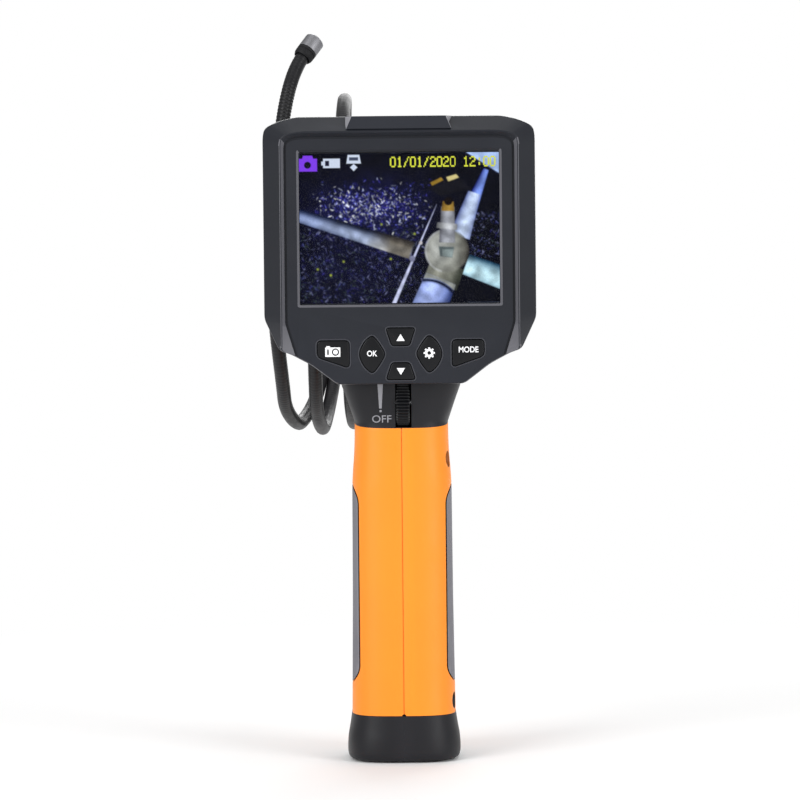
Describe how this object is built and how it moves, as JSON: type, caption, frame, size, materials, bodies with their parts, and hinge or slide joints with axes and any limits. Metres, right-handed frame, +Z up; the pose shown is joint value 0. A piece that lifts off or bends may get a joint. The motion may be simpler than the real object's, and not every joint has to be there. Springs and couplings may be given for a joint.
{
  "type": "inspection camera",
  "caption": "Hand-held inspection camera: a keyed colour display head on a straight battery handle, with a plug-in bendable cable probe coiled behind it.",
  "frame": {"origin": "centre of the flat underside of the foot", "axes": "+Z up the handle, -Y out of the display towards the user, +X to the user's right, +Y along the nose and probe socket"},
  "size_m": [0.0956, 0.1696, 0.2602],
  "materials": {
    "bezel_plastic": "fine satin texture",
    "shell_plastic": "fine satin texture",
    "cover_plastic": "soft satin",
    "grip_rubber": "matte rubber",
    "key_plastic": "satin",
    "black_rubber": "matte rubber",
    "cable_rubber": "satin, ribbed",
    "clear_window": "polished",
    "display_glass": "polished",
    "white_plastic": "diffusing",
    "sheet_steel": "satin",
    "screw_steel": "bright",
    "board_green": "solder mask",
    "chip_black": "moulded",
    "nickel": "plated",
    "gold_contact": "plated",
    "cell_wrap": "printed wrap",
    "wire_cover": "insulation",
    "blue_plastic": "moulded",
    "ring_metal": "anodised",
    "collar_metal": "black satin",
    "head_steel": "satin",
    "led_cap": "clear yellow"
  },
  "bodies": {
    "handset": {"head_bezel": "bezel_plastic", "head_seal": "black_rubber", "screen_lens": "clear_window", "lcd_gasket": "black_rubber", "lcd_panel": "display_glass", "backlight": "white_plastic", "lcd_tray": "sheet_steel", "main_board": "board_green", "board_chips": "chip_black", "key_switches": "sheet_steel", "board_screws": "screw_steel", "body_left": "shell_plastic", "body_right": "shell_plastic", "body_screws": "screw_steel", "bezel_screws": "screw_steel", "cover_left": "cover_plastic", "cover_right": "cover_plastic", "grip_left": "grip_rubber", "grip_right": "grip_rubber", "dimmer_control": "blue_plastic", "battery_cradle": "chip_black", "battery_cells": "cell_wrap", "battery_springs": "nickel", "battery_contacts": "nickel", "wiring": "wire_cover", "port_board": "board_green", "usb_socket": "nickel", "card_socket": "sheet_steel", "memory_card": "chip_black", "nose_ring": "ring_metal", "probe_socket": "chip_black", "socket_pins": "gold_contact"},
    "camera_button": {"key_camera": "key_plastic"},
    "ok_button": {"key_ok": "key_plastic"},
    "up_button": {"key_up": "key_plastic"},
    "down_button": {"key_down": "key_plastic"},
    "settings_button": {"key_settings": "key_plastic"},
    "mode_button": {"key_mode": "key_plastic"},
    "dimmer_wheel": {"thumbwheel": "key_plastic", "wheel_axle": "screw_steel"},
    "battery_hatch": {"battery_door": "shell_plastic", "door_hinge_pin": "screw_steel"},
    "port_flap": {"port_cover": "black_rubber"},
    "probe": {"probe_plug": "chip_black", "strain_relief": "black_rubber", "cable_coil": "cable_rubber"},
    "collar": {"probe_collar": "collar_metal"},
    "probe_tip": {"cable_tip": "cable_rubber", "camera_housing": "head_steel", "camera_ring": "black_rubber", "camera_window": "clear_window", "camera_lens": "display_glass", "camera_leds": "led_cap", "camera_board": "board_green"}
  },
  "joints": [
    {"name": "camera_press", "type": "slide", "parent": "handset", "child": "camera_button", "axis": [0, 1, 0], "range_m": [0, 0.0008]},
    {"name": "ok_press", "type": "slide", "parent": "handset", "child": "ok_button", "axis": [0, 1, 0], "range_m": [0, 0.0008]},
    {"name": "up_press", "type": "slide", "parent": "handset", "child": "up_button", "axis": [0, 1, 0], "range_m": [0, 0.0008]},
    {"name": "down_press", "type": "slide", "parent": "handset", "child": "down_button", "axis": [0, 1, 0], "range_m": [0, 0.0008]},
    {"name": "settings_press", "type": "slide", "parent": "handset", "child": "settings_button", "axis": [0, 1, 0], "range_m": [0, 0.0008]},
    {"name": "mode_press", "type": "slide", "parent": "handset", "child": "mode_button", "axis": [0, 1, 0], "range_m": [0, 0.0008]},
    {"name": "dimmer_turn", "type": "hinge", "parent": "handset", "child": "dimmer_wheel", "pos_m": [0.0006, -0.0107, 0.1273], "axis": [-1, 0, 0], "range_deg": [0, 270]},
    {"name": "hatch_open", "type": "hinge", "parent": "handset", "child": "battery_hatch", "pos_m": [0, -0.0102, 0.0019], "axis": [-1, 0, 0], "range_deg": [0, 100]},
    {"name": "flap_open", "type": "hinge", "parent": "handset", "child": "port_flap", "pos_m": [0.04705, -0.0017, 0.188], "axis": [0, 0, 1], "range_deg": [0, 105]},
    {"name": "probe_pull", "type": "slide", "parent": "handset", "child": "probe", "axis": [0, 1, 0], "range_m": [0, 0.0091]},
    {"name": "collar_turn", "type": "hinge", "parent": "probe", "child": "collar", "pos_m": [0, 0.048, 0.185], "axis": [0, 1, 0], "range_deg": [0, 2160]},
    {"name": "tip_bend", "type": "hinge", "parent": "probe", "child": "probe_tip", "pos_m": [-0.04187, 0.02497, 0.22496], "axis": [0, 1, 0], "range_deg": [-35, 35]}
  ],
  "couplings": [
    {"joint": "probe_pull", "follows": "collar_turn", "m_per_rad": 0.00023873}
  ]
}
